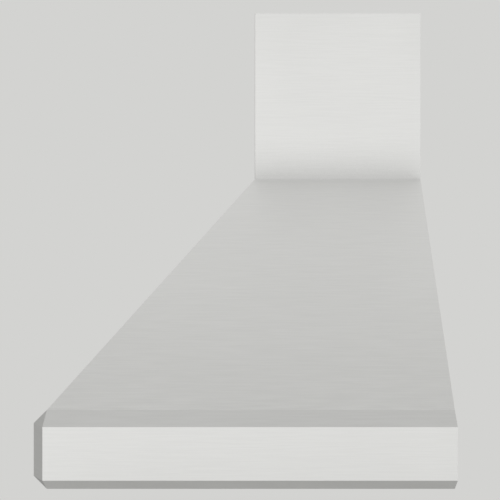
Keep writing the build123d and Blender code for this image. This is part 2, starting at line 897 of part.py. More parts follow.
# Recessed lamps: bezel from below, lens on its lip, can standing on the rail, LED board under its roof
spigot_radius = lamp_radius - spigot_gap
lens_edge = spigot_radius - spigot_wall - lens_gap
ledge_radius = lamp_radius - bezel_ledge
lens_sag = lens_crown - lens_rim
lens_curve = -(lens_edge**2 + lens_sag**2) / (2 * lens_sag)
can_radius = lamp_radius + can_gap
can_roof = rail_height + lamp_depth - light_sheet
for place, side_name in zip(lamp_places, ("left", "right")):
    lamp_axis = Axis((*place, 0), (0, 0, 1))
    with BuildPart() as lamp_bezel:
        with BuildSketch(rail_section(place)):
            with BuildLine():
                Polyline(
                    (ledge_radius, -bezel_height),
                    (lamp_radius + bezel_reach - 2 * bezel_edge, -bezel_height),
                    (lamp_radius + bezel_reach, -bezel_edge),
                    (lamp_radius + bezel_reach, 0),
                    (spigot_radius, 0),
                    (spigot_radius, spigot_height),
                    (spigot_radius - spigot_wall, spigot_height),
                    (spigot_radius - spigot_wall, 0),
                    (ledge_radius, -bezel_edge),
                    close=True,
                )
            make_face()
        revolve(axis=lamp_axis)
    save(lamp_bezel.part, "lamp_" + side_name + "_bezel")
    with BuildPart() as lamp_lens:
        with BuildSketch(rail_section(place)):
            with BuildLine():
                Polyline((0, lens_crown), (0, lens_gap), (lens_edge, lens_gap), (lens_edge, lens_rim))
                RadiusArc((lens_edge, lens_rim), (0, lens_crown), lens_curve)
            make_face()
        revolve(axis=lamp_axis)
    save(lamp_lens.part, "lamp_" + side_name + "_lens")
    with BuildPart() as lamp_can:
        with BuildSketch(rail_section(place)):
            with BuildLine():
                Polyline(
                    (can_radius, sheet),
                    (can_radius + light_sheet + can_flange, sheet),
                    (can_radius + light_sheet + can_flange, sheet + light_sheet),
                    (can_radius + light_sheet, sheet + light_sheet),
                    (can_radius + light_sheet, lamp_depth - can_shoulder),
                    (can_radius + light_sheet - can_shoulder, lamp_depth),
                    (0, lamp_depth),
                    (0, lamp_depth - light_sheet),
                    (can_radius + 0.6 * light_sheet - can_shoulder, lamp_depth - light_sheet),
                    (can_radius, lamp_depth - can_shoulder - 0.4 * light_sheet),
                    close=True,
                )
            make_face()
        revolve(axis=lamp_axis)
    save(lamp_can.part, "lamp_" + side_name + "_can")
    with BuildPart() as lamp_board:
        with BuildSketch(Plane.XY.offset(can_roof)):
            with Locations(place):
                Circle(board_radius)
        extrude(amount=-board_sheet)
        with BuildSketch(Plane.XY.offset(can_roof - board_sheet)):
            with Locations(place):
                Rectangle(chip_size, chip_size)
                with PolarLocations(chip_circle, chip_count):
                    Rectangle(chip_size, chip_size)
        extrude(amount=-chip_height)
    save(lamp_board.part, "lamp_" + side_name + "_board")

# Inner side walls that stand inside the rim and carry the rail and the trough
liner_face = liner_half + sheet
with BuildPart() as liner_right:
    with BuildSketch(Plane.XZ.offset(rim_width + seat_gap)):
        liner_line = [
            (liner_face, liner_foot),
            (liner_face, liner_top),
            (liner_face + liner_flange, liner_top),
        ]
        add(folded_section(liner_line, sheet))
    extrude(amount=opening_depth - 2 * seat_gap)
save(liner_right.part, "liner_right")
with BuildPart() as liner_left:
    add(liner_right.part.mirror(Plane.YZ))
save(liner_left.part, "liner_left")

# Grease trough: gutter along the wall whose front lip carries the filters
trough_rear = panel_face - light_sheet
trough_front = -pivot_from_wall + trough_lip * cos(tilt)
cup_centre = (trough_front + trough_rear) / 2
rail_underside = trough_floor - light_sheet
flange_top = rail_underside - cup_gap
ledge_top = flange_top - light_sheet - cup_gap
with BuildPart() as grease_trough:
    with BuildSketch(Plane.YZ.offset(-span_half)):
        add(
            folded_section(
                [
                    (trough_rear, trough_back),
                    (trough_rear, trough_floor),
                    (trough_front, trough_floor),
                    (trough_front, pivot_height - rest_gap - trough_lip * sin(tilt)),
                    (-pivot_from_wall, pivot_height - rest_gap),
                ],
                light_sheet,
            )
        )
    extrude(amount=2 * span_half)
    for start in (-span_half, span_half - light_sheet):
        with BuildSketch(Plane.YZ.offset(start)):
            with Locations((cup_centre, trough_floor + trough_end_height / 2)):
                Rectangle(trough_rear - trough_front + light_sheet, trough_end_height + light_sheet)
        extrude(amount=light_sheet)
    with BuildSketch(Plane.XY.offset(rail_underside)):
        with Locations((0, cup_centre)):
            Circle(drain_radius)
    extrude(amount=light_sheet, mode=Mode.SUBTRACT)
    # Runners for the cup
    runner_face = cup_width / 2 + cup_flange + cup_gap
    runner_drop = rail_underside - ledge_top + light_sheet
    with BuildSketch(Plane.YZ.offset(-cup_length / 2 - cup_runner_margin)):
        for side in (-1, 1):
            web = cup_centre + side * (runner_face + light_sheet / 2)
            ledge = cup_centre + side * (runner_face - cup_flange / 2)
            with Locations((web, rail_underside - runner_drop / 2)):
                Rectangle(light_sheet, runner_drop)
            with Locations((ledge, ledge_top - light_sheet / 2)):
                Rectangle(cup_flange, light_sheet)
    extrude(amount=cup_length + 2 * cup_runner_margin)
save(grease_trough.part, "grease_trough")

with BuildPart() as grease_cup:
    with BuildSketch(Plane.XY.offset(flange_top)):
        with Locations((0, cup_centre)):
            RectangleRounded(cup_length, cup_width, cup_corner)
    extrude(amount=-cup_depth)
    fillet(grease_cup.faces().sort_by(Axis.Z)[0].edges(), radius=cup_edge)
    offset(amount=-light_sheet, openings=grease_cup.faces().sort_by(Axis.Z)[-1])
    with BuildSketch(Plane.XY.offset(flange_top)):
        with Locations((0, cup_centre)):
            Rectangle(cup_length, cup_width + 2 * cup_flange)
            RectangleRounded(
                cup_length - 2 * light_sheet,
                cup_width - 2 * light_sheet,
                cup_corner - light_sheet,
                mode=Mode.SUBTRACT,
            )
    extrude(amount=-light_sheet)
save(grease_cup.part, "grease_cup")

# Baffle filters: channel frame, two layers of interleaved vanes and a wire handle
filter_width = (2 * liner_half - (filter_count + 1) * filter_side_gap) / filter_count
filter_length = filter_reach + filter_tail
filter_pitch = filter_width + filter_side_gap
vane_seat = filter_sheet + vane_gap
lower_vanes = int((filter_width - 2 * vane_seat - vane_width) // vane_pitch)


def filter_face(middle):
    """Plane of a filter's underside, with its origin on the trough's lip and Y toward the wall."""
    pivot = (middle, -pivot_from_wall, pivot_height)
    return Plane(origin=pivot, x_dir=(1, 0, 0), z_dir=(0, sin(tilt), cos(tilt)))


def filter_cross(middle, along):
    """Plane across a filter, with its normal toward the front and Y square to the filter."""
    face = filter_face(middle)
    return Plane(origin=face.origin + face.y_dir * along, x_dir=(1, 0, 0), z_dir=-face.y_dir)


def filter_frame(middle):
    """Channel bent round the edge of the filter, with drain holes at the wall end."""
    face = filter_face(middle)
    centre = (0, (filter_tail - filter_reach) / 2)
    with BuildPart() as frame:
        with BuildSketch(face):
            with Locations(centre):
                Rectangle(filter_width, filter_length)
        extrude(amount=filter_thick)
        with BuildSketch(face.offset(filter_sheet)):
            with Locations(centre):
                Rectangle(filter_width - 2 * filter_sheet, filter_length - 2 * filter_sheet)
        extrude(amount=filter_thick - 2 * filter_sheet, mode=Mode.SUBTRACT)
        with BuildSketch(face):
            with Locations(centre):
                Rectangle(filter_width - 2 * filter_leg, filter_length - 2 * filter_leg)
        extrude(amount=filter_thick, mode=Mode.SUBTRACT)
        with BuildSketch(face):
            with Locations((0, filter_tail - filter_leg / 2)):
                with GridLocations(drain_hole_pitch, 0, drain_hole_count, 1):
                    Circle(drain_hole_radius)
        extrude(amount=filter_sheet, mode=Mode.SUBTRACT)
    return frame.part


def filter_baffles(middle):
    """Two layers of channel vanes that hook into each other without touching."""
    half = vane_width / 2
    vane = folded_section([(-half, vane_lip), (-half, 0), (half, 0), (half, vane_lip)], filter_sheet)
    with BuildPart() as baffles:
        with BuildSketch(filter_cross(middle, filter_tail - vane_seat)):
            with Locations((0, vane_seat)):
                with GridLocations(vane_pitch, 0, lower_vanes, 1):
                    add(vane)
            with Locations((0, filter_thick - vane_seat)):
                with GridLocations(vane_pitch, 0, lower_vanes + 1, 1):
                    add(vane.rotate(Axis.Z, 180))
        extrude(amount=filter_length - 2 * vane_seat)
    return baffles.part


def filter_handle(middle):
    """Bent wire pull under the front edge of a filter."""
    plane = filter_cross(middle, filter_leg / 2 - filter_reach)
    half = handle_width / 2
    with BuildPart() as handle:
        with BuildLine(plane) as route:
            FilletPolyline(
                (-half, 0), (-half, -handle_drop), (half, -handle_drop), (half, 0), radius=handle_bend
            )
        with BuildSketch(Plane(origin=route.line @ 0, z_dir=route.line % 0)):
            Circle(handle_wire)
        sweep(path=route.line)
    return handle.part


for number, side_name in enumerate(("left", "centre", "right")):
    filter_middle = (number - (filter_count - 1) / 2) * filter_pitch
    save(filter_frame(filter_middle), "filter_" + side_name + "_frame")
    save(filter_baffles(filter_middle), "filter_" + side_name + "_baffles")
    save(filter_handle(filter_middle), "filter_" + side_name + "_handle")

# Leaf springs on the rail that press on the front edge of each filter
leaf_face = rail_back + leaf_sheet
leaf_line = [
    (leaf_face, filter_front_rise - leaf_foot),
    (leaf_face, filter_front_rise - leaf_start),
    (leaf_face + leaf_reach, filter_front_rise + leaf_crest),
    (leaf_face + leaf_tip_reach, filter_front_rise + leaf_tip),
]
with BuildPart() as filter_clips:
    for number in range(filter_count):
        for side in (-1, 1):
            clip_middle = (number - (filter_count - 1) / 2) * filter_pitch + side * leaf_spacing / 2
            with BuildSketch(Plane.YZ.offset(clip_middle - leaf_width / 2)):
                add(folded_section(leaf_line, leaf_sheet))
            extrude(amount=leaf_width)
save(filter_clips.part, "filter_clips")

# Junction box over the knockout, with a cap held by two screws
box_screw_places = [
    (box_centre, box_height + side * (box_tall / 2 - box_screw_inset)) for side in (-1, 1)
]
box_front = -panel_face + box_depth
with BuildPart() as wiring_box:
    with BuildSketch(Plane.XZ.offset(-panel_face)):
        with Locations((box_centre, box_height)):
            Rectangle(box_width, box_tall)
    extrude(amount=box_depth)
    offset(amount=-light_sheet, openings=wiring_box.faces().sort_by(Axis.Y)[0])
    with BuildSketch(Plane.XZ.offset(-panel_face)):
        with Locations((box_centre, box_height)):
            Circle(knockout_radius)
    extrude(amount=light_sheet, mode=Mode.SUBTRACT)
    with BuildSketch(Plane.XZ.offset(box_front - light_sheet)):
        with Locations(*box_screw_places):
            Rectangle(box_tab_width, box_tab_height)
            Circle(rivet_radius, mode=Mode.SUBTRACT)
    extrude(amount=light_sheet)
save(wiring_box.part, "wiring_box")

with BuildPart() as wiring_box_cover:
    with BuildSketch(Plane.XZ.offset(box_front - box_cover_lap)):
        with Locations((box_centre, box_height)):
            Rectangle(
                box_width + 2 * (seat_gap + light_sheet), box_tall + 2 * (seat_gap + light_sheet)
            )
    extrude(amount=box_cover_lap + light_sheet + seat_gap)
    offset(amount=-light_sheet, openings=wiring_box_cover.faces().sort_by(Axis.Y)[-1])
    with BuildSketch(Plane.XZ.offset(box_front)):
        with Locations(*box_screw_places):
            Circle(rivet_radius)
    extrude(amount=2 * light_sheet, mode=Mode.SUBTRACT)
save(wiring_box_cover.part, "wiring_box_cover")

box_screw = fastener(reach=2 * light_sheet + seat_gap + screw_tip)
with BuildPart() as wiring_box_screws:
    for x, z in box_screw_places:
        with Locations(Plane(origin=(x, -(box_front + seat_gap + light_sheet), z), z_dir=(0, 1, 0))):
            add(box_screw)
save(wiring_box_screws.part, "wiring_box_screws")
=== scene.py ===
# %% [markdown]
# A wall-mount range hood in satin stainless steel, dressed for a product picture.
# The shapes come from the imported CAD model. This file adds their finishes, a camera, light and a floor.
# Every place is in metres: X runs along the wall, the wall is at Y = 0, and Z = 0 is the bottom rim.

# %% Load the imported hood
import json
from math import pi

import bmesh
import bpy
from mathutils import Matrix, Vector


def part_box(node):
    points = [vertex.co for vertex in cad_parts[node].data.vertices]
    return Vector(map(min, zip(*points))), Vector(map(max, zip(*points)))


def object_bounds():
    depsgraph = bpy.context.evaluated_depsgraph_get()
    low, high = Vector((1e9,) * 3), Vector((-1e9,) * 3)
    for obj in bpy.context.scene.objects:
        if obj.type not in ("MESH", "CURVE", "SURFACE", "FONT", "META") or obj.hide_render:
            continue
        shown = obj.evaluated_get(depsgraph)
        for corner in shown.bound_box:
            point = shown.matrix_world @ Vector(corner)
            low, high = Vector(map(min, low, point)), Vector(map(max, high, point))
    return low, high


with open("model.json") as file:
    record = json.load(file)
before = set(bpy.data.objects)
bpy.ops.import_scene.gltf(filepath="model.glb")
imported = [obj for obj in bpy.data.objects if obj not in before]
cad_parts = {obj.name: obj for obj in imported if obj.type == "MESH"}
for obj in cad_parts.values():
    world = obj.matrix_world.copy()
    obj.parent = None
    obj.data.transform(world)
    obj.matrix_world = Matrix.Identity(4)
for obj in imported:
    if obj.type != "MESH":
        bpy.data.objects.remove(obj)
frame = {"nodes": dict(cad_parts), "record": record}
cad_low, cad_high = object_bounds()
mm = 0.001
print("hood box in mm:", [round(size / mm) for size in cad_high - cad_low])

# %% [markdown]
# Colours are easiest to choose as the hex codes that a picture shows, but a renderer works with light.
# One function turns the first into the second, so that every finish below can be written as it looks.
# A second one adds a node to a material and fills its sockets, which keeps each finish short to read.
# The colour sockets of a mix node share their names with other sockets, so they go by number.


# %% Helpers for colours and nodes
def linear(hex_code):
    """Amounts of red, green and blue light for an sRGB hex code, with full opacity."""
    channels = [int(hex_code[start : start + 2], 16) / 255 for start in (1, 3, 5)]
    return [c / 12.92 if c <= 0.04045 else ((c + 0.055) / 1.055) ** 2.4 for c in channels] + [1.0]


def add_node(tree, kind, inputs=None, **settings):
    """Adds a node. An input given as a socket is linked, and any other value is set on the socket itself."""
    node = tree.nodes.new(kind)
    for name, value in settings.items():
        setattr(node, name, value)
    for name, value in (inputs or {}).items():
        if isinstance(value, bpy.types.NodeSocket):
            tree.links.new(value, node.inputs[name])
        else:
            node.inputs[name].default_value = value
    return node


first_colour, second_colour, mixed_colour = 6, 7, 2
backdrop_grey = "#D3D3D1"
print("backdrop grey as light:", [round(amount, 3) for amount in linear(backdrop_grey)])

# %% [markdown]
# The picture looks straight at the right side of the hood, with the wall edge on the right.
# Its vanishing point isn't in the middle of the frame. Turning the camera would move that point, but
# then the upright edges would lean together, so the camera stays level and its lens is shifted instead.
# The duct cover stands farther back than the band. The nearer a camera is, the smaller that makes the
# cover look, so their ratio in the picture gives the distance.

# %% Camera
camera_data = bpy.data.cameras.new("photo_camera")
camera_data.sensor_width = 36.0
camera_data.lens = 52.44
camera_data.shift_x = -0.0868
camera_data.shift_y = -0.0962
camera = bpy.data.objects.new("photo_camera", camera_data)
camera.location = (1.4925, -0.2337, 0.4154)
camera.rotation_euler = (pi / 2, 0, pi / 2)
bpy.context.scene.collection.objects.link(camera)
bpy.context.scene.camera = camera
bpy.context.scene.view_settings.view_transform = "Standard"
print("camera stands", round(camera.location.x - cad_high.x, 3), "m from the side of the hood")

# %% [markdown]
# A studio for bright metal is mostly a room of even grey, because metal shows the room round it.
# Walls could be built for it, but the world gives the same grey from every side and is never in the way.
# It has the pale grey of the backdrop, for the eye and for reflections alike.

# %% Backdrop grey all round
world = bpy.data.worlds.new("grey_room")
world.use_nodes = True
world.node_tree.nodes.clear()
room = add_node(world.node_tree, "ShaderNodeBackground", {"Color": linear(backdrop_grey), "Strength": 1.0})
add_node(world.node_tree, "ShaderNodeOutputWorld", {"Surface": room.outputs["Background"]})
bpy.context.scene.world = world
print("world:", backdrop_grey)

# %% [markdown]
# Soft boxes make the broad sheen that tells the eye that a grey sheet is metal.
# A row of three behind the camera shows in the upright side that the picture looks at. The row is
# brightest toward the front, where the band brightens too. The box overhead shows in the slopes.
# Two weaker ones serve the left side and the front slope.
# A lamp's power follows from its area and from the brightness that it should have in a mirror.


# %% Soft boxes
def soft_box(name, place, aim, width, height, brightness):
    """A rectangular lamp that looks from its place to its aim. A brightness of 1 is white in a mirror."""
    light = bpy.data.lights.new(name, "AREA")
    light.shape = "RECTANGLE"
    light.size = width
    light.size_y = height
    light.energy = pi * width * height * brightness
    lamp = bpy.data.objects.new(name, light)
    lamp.location = place
    lamp.rotation_euler = (Vector(aim) - Vector(place)).to_track_quat("-Z", "Y").to_euler()
    lamp.visible_camera = False
    bpy.context.scene.collection.objects.link(lamp)
    print(name, "at", place, "with", round(light.energy, 1), "W")


side_distance = 3.0
side_level = 0.5
side_height = 4.0
for name, y, width, brightness in (
    ("side_front_box", -2.9, 2.4, 0.93),
    ("side_middle_box", -0.4, 2.6, 0.74),
    ("side_wall_box", 2.0, 2.2, 0.62),
):
    soft_box(name, (side_distance, y, side_level), (0, y, side_level), width, side_height, brightness)
soft_box("top_box", place=(-0.3, -0.1, 3.3), aim=(-0.3, -0.1, 0), width=4.2, height=6.4, brightness=0.45)
soft_box("left_box", place=(-3.4, -0.8, 0.8), aim=(-0.4, -0.3, 0.2), width=3.6, height=2.8, brightness=0.5)
soft_box("front_box", place=(-0.8, -3.6, 2.6), aim=(-0.2, -0.5, 0.3), width=3.0, height=1.6, brightness=0.22)

# %% [markdown]
# The hood hangs well above the ground, so the floor lies at the height of a kitchen floor below it.
# A sheet of board in matt paint keeps the shadow. A square one would show a hard edge from above, so
# this one is round and its paint fades out toward the rim.

# %% Floor
floor_level = -1.8
floor_radius = 3.2
fade_start = 0.45 * floor_radius
fade_end = 0.98 * floor_radius
rim_points = 96
floor_mesh = bpy.data.meshes.new("studio_floor")
outline = bmesh.new()
bmesh.ops.create_circle(outline, cap_ends=True, segments=rim_points, radius=floor_radius)
outline.to_mesh(floor_mesh)
outline.free()
floor = bpy.data.objects.new("studio_floor", floor_mesh)
middle = (cad_low + cad_high) / 2
floor.location = (middle.x, middle.y, floor_level)
bpy.context.scene.collection.objects.link(floor)
print("floor", floor_radius, "m round, at", floor_level, "m")

# %% Floor paint
floor_paint = bpy.data.materials.new("matt_floor_paint")
floor_paint.use_nodes = True
tree = floor_paint.node_tree
tree.nodes.clear()
place = add_node(tree, "ShaderNodeTexCoord").outputs["Object"]
grit_size = 4 * mm
grit = add_node(tree, "ShaderNodeTexNoise", {"Vector": place, "Scale": 1 / grit_size, "Detail": 3.0})
tones = {"Factor": grit.outputs["Fac"], first_colour: linear("#DEDEDD"), second_colour: linear("#E5E5E4")}
paint = add_node(tree, "ShaderNodeMix", tones, data_type="RGBA").outputs[mixed_colour]
matt = add_node(tree, "ShaderNodeBsdfPrincipled", {"Base Color": paint, "Roughness": 0.8})
nothing = add_node(tree, "ShaderNodeBsdfTransparent")
distance = add_node(tree, "ShaderNodeVectorMath", {0: place}, operation="LENGTH").outputs["Value"]
ends = {"Value": distance, "From Min": fade_start, "From Max": fade_end}
fade = add_node(tree, "ShaderNodeMapRange", ends, interpolation_type="SMOOTHSTEP").outputs["Result"]
shown = {0: fade, 1: matt.outputs["BSDF"], 2: nothing.outputs["BSDF"]}
faded = add_node(tree, "ShaderNodeMixShader", shown).outputs["Shader"]
add_node(tree, "ShaderNodeOutputMaterial", {"Surface": faded})
floor_mesh.materials.append(floor_paint)
print("floor paint fades from", round(fade_start, 2), "to", round(fade_end, 2), "m")

# %% [markdown]
# Most finishes are metals, and each begins the same way: an empty material with one shader in it.
# The constant numbers go straight onto that shader, and only what varies over the surface is linked.
# What varies follows a noise pattern, which may drive the colour, the roughness and the relief.
# Noise hardly ever leaves the stretch from 0.3 to 0.7, so that stretch is spread over the whole range.

# %% Start of a finish
noise_low = 0.3
noise_high = 0.7


def finish(name, constants):
    """A material with one shader that holds the constants, its tree, and the places on the object."""
    material = bpy.data.materials.new(name)
    material.use_nodes = True
    tree = material.node_tree
    tree.nodes.clear()
    shader = add_node(tree, "ShaderNodeBsdfPrincipled", constants)
    add_node(tree, "ShaderNodeOutputMaterial", {"Surface": shader.outputs["BSDF"]})
    place = add_node(tree, "ShaderNodeTexCoord").outputs["Object"]
    return material, tree, shader, place


def blend(tree, pattern, colours):
    """A colour that goes from the first hex code to the second with the pattern."""
    ends = {"Value": pattern, "From Min": noise_low, "From Max": noise_high}
    share = add_node(tree, "ShaderNodeMapRange", ends).outputs["Result"]
    tones = {"Factor": share, first_colour: linear(colours[0]), second_colour: linear(colours[1])}
    return add_node(tree, "ShaderNodeMix", tones, data_type="RGBA").outputs[mixed_colour]


def vary(tree, shader, pattern, colours=None, roughness=None, relief=None):
    """Lets a pattern drive a finish: two hex codes, two roughnesses, or how far the pattern stands up."""
    if colours:
        tree.links.new(blend(tree, pattern, colours), shader.inputs["Base Color"])
    if roughness:
        ends = {"Value": pattern, "From Min": noise_low, "From Max": noise_high}
        ends.update({"To Min": roughness[0], "To Max": roughness[1]})
        drift = add_node(tree, "ShaderNodeMapRange", ends).outputs["Result"]
        tree.links.new(drift, shader.inputs["Roughness"])
    if relief:
        bump = add_node(tree, "ShaderNodeBump", {"Height": pattern, "Distance": relief, "Strength": 1.0})
        tree.links.new(bump.outputs["Normal"], shader.inputs["Normal"])


print("noise from", noise_low, "to", noise_high, "is spread over each range")

# %% [markdown]
# The canopy, the duct cover, the control rail, the inner walls, the grease trough and its cup are
# stainless sheet, brushed with a fine belt and left satin. The belt leaves scratches about a tenth of
# a millimetre apart and some centimetres long, all one way.
# The eye gets a soft sheen, stretched across the scratches, with hardly any colour and no sharp image.
# Relief alone could stretch it, but lines that fine fall between the pixels, so the shader does it.
# It needs a tangent that points across the scratches. That comes from the way that each face looks,
# so one finish serves all the faces of a piece.

# %% Way across the scratches
upright = (0, 0, 1)


def across_scratches(tree, facing, along):
    """The direction in the sheet that is square to scratches along X or Y, or to level ones all round."""
    if along == "XY":
        level = add_node(tree, "ShaderNodeVectorMath", {0: facing, 1: upright}, operation="CROSS_PRODUCT")
        scratch = level.outputs["Vector"]
    else:
        scratch = [float(axis == along) for axis in "XYZ"]
    across = add_node(tree, "ShaderNodeVectorMath", {0: facing, 1: scratch}, operation="CROSS_PRODUCT")
    return across.outputs["Vector"]


print("scratches can run along X, along Y or level all round")

# %% [markdown]
# Inner corners get painted shade: the base colour is darkened there, as shade would darken it. It could be
# painted on every piece, but ambient occlusion finds the corners from the shape. It is 1 on an open face and
# sinks where other faces come near.

# %% Painted shade in the corners
corner_shut, corner_open = 0.86, 0.99
corner_rays = 16


def corner_painted_shade(tree, corner, shade_reach):
    """Painted shade: how much of the base colour each spot keeps, from 1 in the open down to the share in a
    tight corner.
    """
    sky = add_node(tree, "ShaderNodeAmbientOcclusion", {"Distance": shade_reach}, samples=corner_rays).outputs["AO"]
    ends = {"Value": sky, "From Min": corner_shut, "From Max": corner_open, "To Min": corner}
    return add_node(tree, "ShaderNodeMapRange", ends).outputs["Result"]


# Painted shade ends at this openness: above it the base colour is kept whole.
print("full polish from an openness of", corner_open)

# %% [markdown]
# Bevels get painted shade too: their base colour is darkened, as if they were turned away from the light. The
# largest part of a face's direction finds them, because that is 1 on a face that squares with an axis.
# The small three-cornered facets on the lower rim get the darkest painted shade, as a dark line along the
# corner.
# They face downward and lean alike to all three axes.

# %% Painted shade on bevels and lower corner facets
bevel_square, flat_square = 0.9, 0.95
facet_way = (0.577, 0.577, 0.577)
facet_match = 0.95
facet_drop = -0.3
facet_share = 0.5


def bevel_painted_shade(tree, leaning, bevel):
    """Painted shade: the share of its base colour that each face keeps, from 1 on a square one down to the
    share on a bevel.
    """
    part = add_node(tree, "ShaderNodeSeparateXYZ", {"Vector": leaning}).outputs
    level_parts = {0: part["X"], 1: part["Y"]}
    wider = add_node(tree, "ShaderNodeMath", level_parts, operation="MAXIMUM").outputs["Value"]
    widest = add_node(tree, "ShaderNodeMath", {0: wider, 1: part["Z"]}, operation="MAXIMUM").outputs["Value"]
    ends = {"Value": widest, "From Min": bevel_square, "From Max": flat_square, "To Min": bevel}
    return add_node(tree, "ShaderNodeMapRange", ends).outputs["Result"]


def facet_painted_shade(tree, facing, leaning):
    """Painted shade: the share of the base colour kept on a lower corner facet, and 1 on every other face."""
    alike = add_node(tree, "ShaderNodeVectorMath", {0: leaning, 1: facet_way}, operation="DOT_PRODUCT")
    match = {0: alike.outputs["Value"], 1: facet_match}
    is_corner = add_node(tree, "ShaderNodeMath", match, operation="GREATER_THAN").outputs["Value"]
    upward = add_node(tree, "ShaderNodeSeparateXYZ", {"Vector": facing}).outputs["Z"]
    drop = {0: upward, 1: facet_drop}
    is_low = add_node(tree, "ShaderNodeMath", drop, operation="LESS_THAN").outputs["Value"]
    both = {0: is_corner, 1: is_low}
    is_facet = add_node(tree, "ShaderNodeMath", both, operation="MULTIPLY").outputs["Value"]
    ends = {"Value": is_facet, "To Min": 1.0, "To Max": facet_share}
    return add_node(tree, "ShaderNodeMapRange", ends).outputs["Result"]


# Painted shade: the lower corner facets keep this share of their base colour.
print("weld facets keep", facet_share, "of the polish")

# %% [markdown]
# A noise pattern squeezed across the scratches draws them. They are drawn twenty times too coarse,
# because the real ones would vanish between the pixels. A second, broad pattern is the faint unevenness
# of a rolled sheet. It takes part in the roughness alone, so the sheen drifts a little.

# %% Satin stainless steel
scratch_gap = 0.1 * mm
scratch_length = 60 * mm
drawn_gap = 20 * scratch_gap
rolled_width = 180 * mm
rolled_share = 0.4


def satin_steel(name, along, colours, corner=0.95, shade_reach=50 * mm, bevel=1.0):
    """Brushed sheet between two tones, scratched along X, Y or round the hood, with painted shade in its
    corners, on bevels and on the lower corner facets.
    """
    material, tree, shader, place = finish(name, {"Metallic": 1.0, "Anisotropic": 0.4})
    squeeze = [1 / scratch_length if axis in along else 1 / drawn_gap for axis in "XYZ"]
    lined = add_node(tree, "ShaderNodeMapping", {"Vector": place, "Scale": squeeze}).outputs["Vector"]
    fine = {"Vector": lined, "Scale": 1.0, "Detail": 3.0}
    scratches = add_node(tree, "ShaderNodeTexNoise", fine).outputs["Fac"]
    broad = {"Vector": place, "Scale": 1 / rolled_width, "Detail": 2.0}
    rolled = add_node(tree, "ShaderNodeTexNoise", broad).outputs["Fac"]
    uneven = add_node(tree, "ShaderNodeMix", {"Factor": rolled_share, "A": scratches, "B": rolled})
    vary(tree, shader, uneven.outputs["Result"], roughness=(0.31, 0.41))
    vary(tree, shader, scratches, relief=0.003 * mm)
    facing = add_node(tree, "ShaderNodeNewGeometry").outputs["True Normal"]
    tree.links.new(across_scratches(tree, facing, along), shader.inputs["Tangent"])
    leaning = add_node(tree, "ShaderNodeVectorMath", {0: facing}, operation="ABSOLUTE").outputs["Vector"]
    tone = blend(tree, scratches, colours)
    # Painted shade: the base colour is darkened in inner corners, on bevels and on the lower corner facets.
    for painted_brightness in (
        corner_painted_shade(tree, corner, shade_reach),
        bevel_painted_shade(tree, leaning, bevel),
        facet_painted_shade(tree, facing, leaning),
    ):
        painted_shade_scale = {0: tone, "Scale": painted_brightness}
        tone = add_node(tree, "ShaderNodeVectorMath", painted_shade_scale, operation="SCALE").outputs["Vector"]
    tree.links.new(tone, shader.inputs["Base Color"])
    return material


print("scratches drawn", round(drawn_gap / mm, 2), "mm apart")

# %% [markdown]
# The band and the duct cover are bent round the hood, so their scratches stay level on every face.
# Each slope is cut from its own sheet and brushed along its lower edge before it is welded in.
# The foot of the cover stands in the deepest corner, so it gets the strongest painted shade.

# %% Sheets of the hood
# Painted shade: the band's bevels are darkened, the cover's foot most of all, and the slopes a little in
# their corners.
band_steel = satin_steel("satin_stainless_band", "XY", ("#C6C6C5", "#CBCBCA"), bevel=0.88)
cover_steel = satin_steel("satin_stainless_cover", "XY", ("#C4C4C3", "#C9C9C8"), corner=0.66, shade_reach=95 * mm)
slope_tones = ("#C6C6C5", "#CBCBCA")
side_slope_steel = satin_steel("satin_stainless_side_slope", "Y", slope_tones, corner=0.93)
front_slope_steel = satin_steel("satin_stainless_front_slope", "X", slope_tones, corner=0.93)
inner_tones = ("#C4C4C3", "#CACAC9")
rail_steel = satin_steel("satin_stainless_along_the_wall", "X", inner_tones)
liner_steel = satin_steel("satin_stainless_front_to_back", "Y", inner_tones)
print("six brushed finishes")

# %% [markdown]
# The baffle filters, with their frames and handles, are of bright stainless strip. It is smoother than
# the canopy, so the eye gets clearer reflections. Rollers leave fine lines along the strip. They are
# drawn a millimetre apart, which is coarser than they are, so that they show.
# Washing leaves the metal faintly cloudy, so the roughness drifts a little from place to place.

# %% Bright filter steel
filter_steel, tree, shader, place = finish("bright_filter_stainless", {"Metallic": 1.0, "Anisotropic": 0.2})
line_gap = 1.0 * mm
line_length = 50 * mm
cloud_size = 35 * mm
squeeze = (1 / line_gap, 1 / line_length, 1 / line_gap)
lined = add_node(tree, "ShaderNodeMapping", {"Vector": place, "Scale": squeeze}).outputs["Vector"]
rolling = add_node(tree, "ShaderNodeTexNoise", {"Vector": lined, "Scale": 1.0, "Detail": 2.0}).outputs["Fac"]
cloud = add_node(tree, "ShaderNodeTexNoise", {"Vector": place, "Scale": 1 / cloud_size, "Detail": 3.0})
vary(tree, shader, rolling, colours=("#B4B4B1", "#BDBDBA"), relief=0.006 * mm)
vary(tree, shader, cloud.outputs["Fac"], roughness=(0.2, 0.32))
print("filter steel with rolling lines every", line_gap / mm, "mm")

# %% [markdown]
# The back panel, the blower with its wheel, the duct collar with its damper, the wiring box and the
# brackets are hot-dip galvanised sheet.
# Zinc freezes on the steel in crystals, which show as patches of their own brightness, a centimetre wide.
# A cell pattern gives each crystal its own grey and its own gloss. Noise bends the borders of the
# cells, because crystals don't meet in straight lines.

